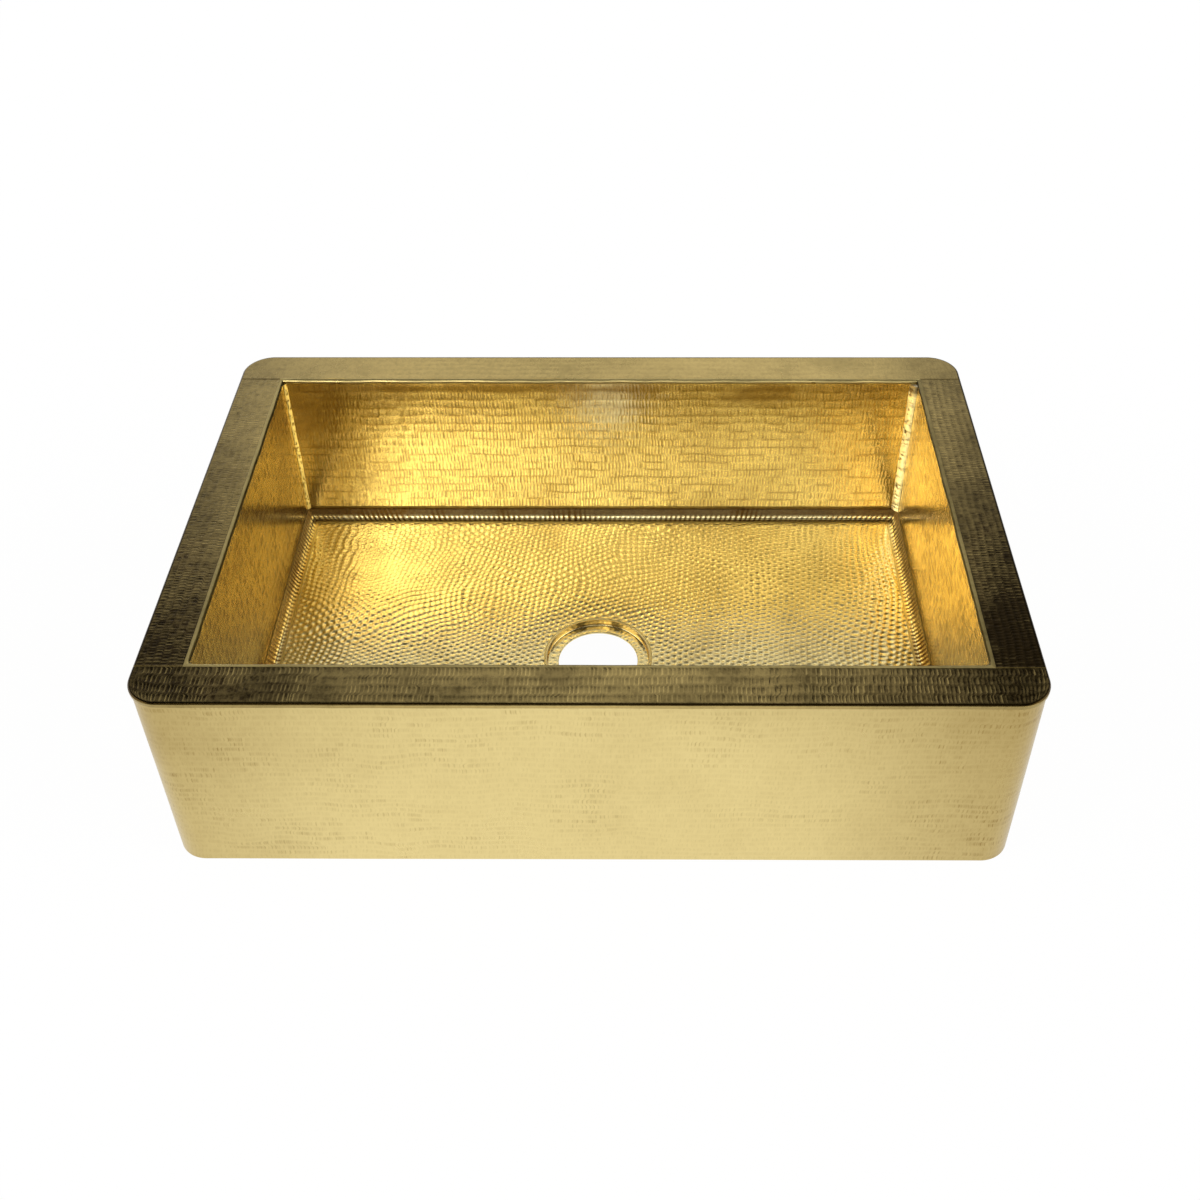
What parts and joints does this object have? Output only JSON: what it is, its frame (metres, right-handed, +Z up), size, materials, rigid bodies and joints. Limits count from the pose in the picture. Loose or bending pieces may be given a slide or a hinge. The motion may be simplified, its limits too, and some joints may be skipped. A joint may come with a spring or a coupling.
{
  "type": "farmhouse apron front sink",
  "caption": "Rectangular single-bowl kitchen sink welded from hammered brass sheet, with a flat rim, a deep apron front and a stepped round drain opening.",
  "frame": {"origin": "centre of the base rectangle, on the plane the sink stands on", "axes": "+X to the right along the width, +Y from the apron front to the back, +Z up"},
  "size_m": [0.8382, 0.5588, 0.2286],
  "materials": {
    "row_hammered_brass": "hammered in rows, satin polish",
    "ball_hammered_brass": "ball-peen hammered, polished",
    "dressed_weld": "weld, filed smooth",
    "plain_brass_sheet": "mill finish, dull"
  },
  "bodies": {
    "root": {"back_panel": "row_hammered_brass", "base_flange_back": "plain_brass_sheet", "base_flange_front": "plain_brass_sheet", "base_flange_left": "plain_brass_sheet", "base_flange_right": "plain_brass_sheet", "bowl_floor": "ball_hammered_brass", "bowl_wall_back": "row_hammered_brass", "bowl_wall_front": "row_hammered_brass", "bowl_wall_left": "row_hammered_brass", "bowl_wall_right": "row_hammered_brass", "corner_weld_back_left": "dressed_weld", "corner_weld_back_right": "dressed_weld", "corner_weld_front_left": "dressed_weld", "corner_weld_front_right": "dressed_weld", "cove_back": "ball_hammered_brass", "cove_front": "ball_hammered_brass", "cove_left": "ball_hammered_brass", "cove_right": "ball_hammered_brass", "cove_weld": "dressed_weld", "drain_cup": "ball_hammered_brass", "drain_weld": "dressed_weld", "floor_bearer_left": "plain_brass_sheet", "floor_bearer_right": "plain_brass_sheet", "floor_weld": "dressed_weld", "front_apron": "row_hammered_brass", "mouth_bead_back": "dressed_weld", "mouth_bead_front": "dressed_weld", "mouth_bead_left": "dressed_weld", "mouth_bead_right": "dressed_weld", "rim_back": "row_hammered_brass", "rim_front": "row_hammered_brass", "rim_left": "row_hammered_brass", "rim_right": "row_hammered_brass", "rim_seam_back_left": "dressed_weld", "rim_seam_back_right": "dressed_weld", "rim_seam_front_left": "dressed_weld", "rim_seam_front_right": "dressed_weld", "shell_seam_back_left": "dressed_weld", "shell_seam_back_right": "dressed_weld", "shell_seam_front_left": "dressed_weld", "shell_seam_front_right": "dressed_weld", "side_panel_left": "row_hammered_brass", "side_panel_right": "row_hammered_brass"}
  },
  "joints": []
}
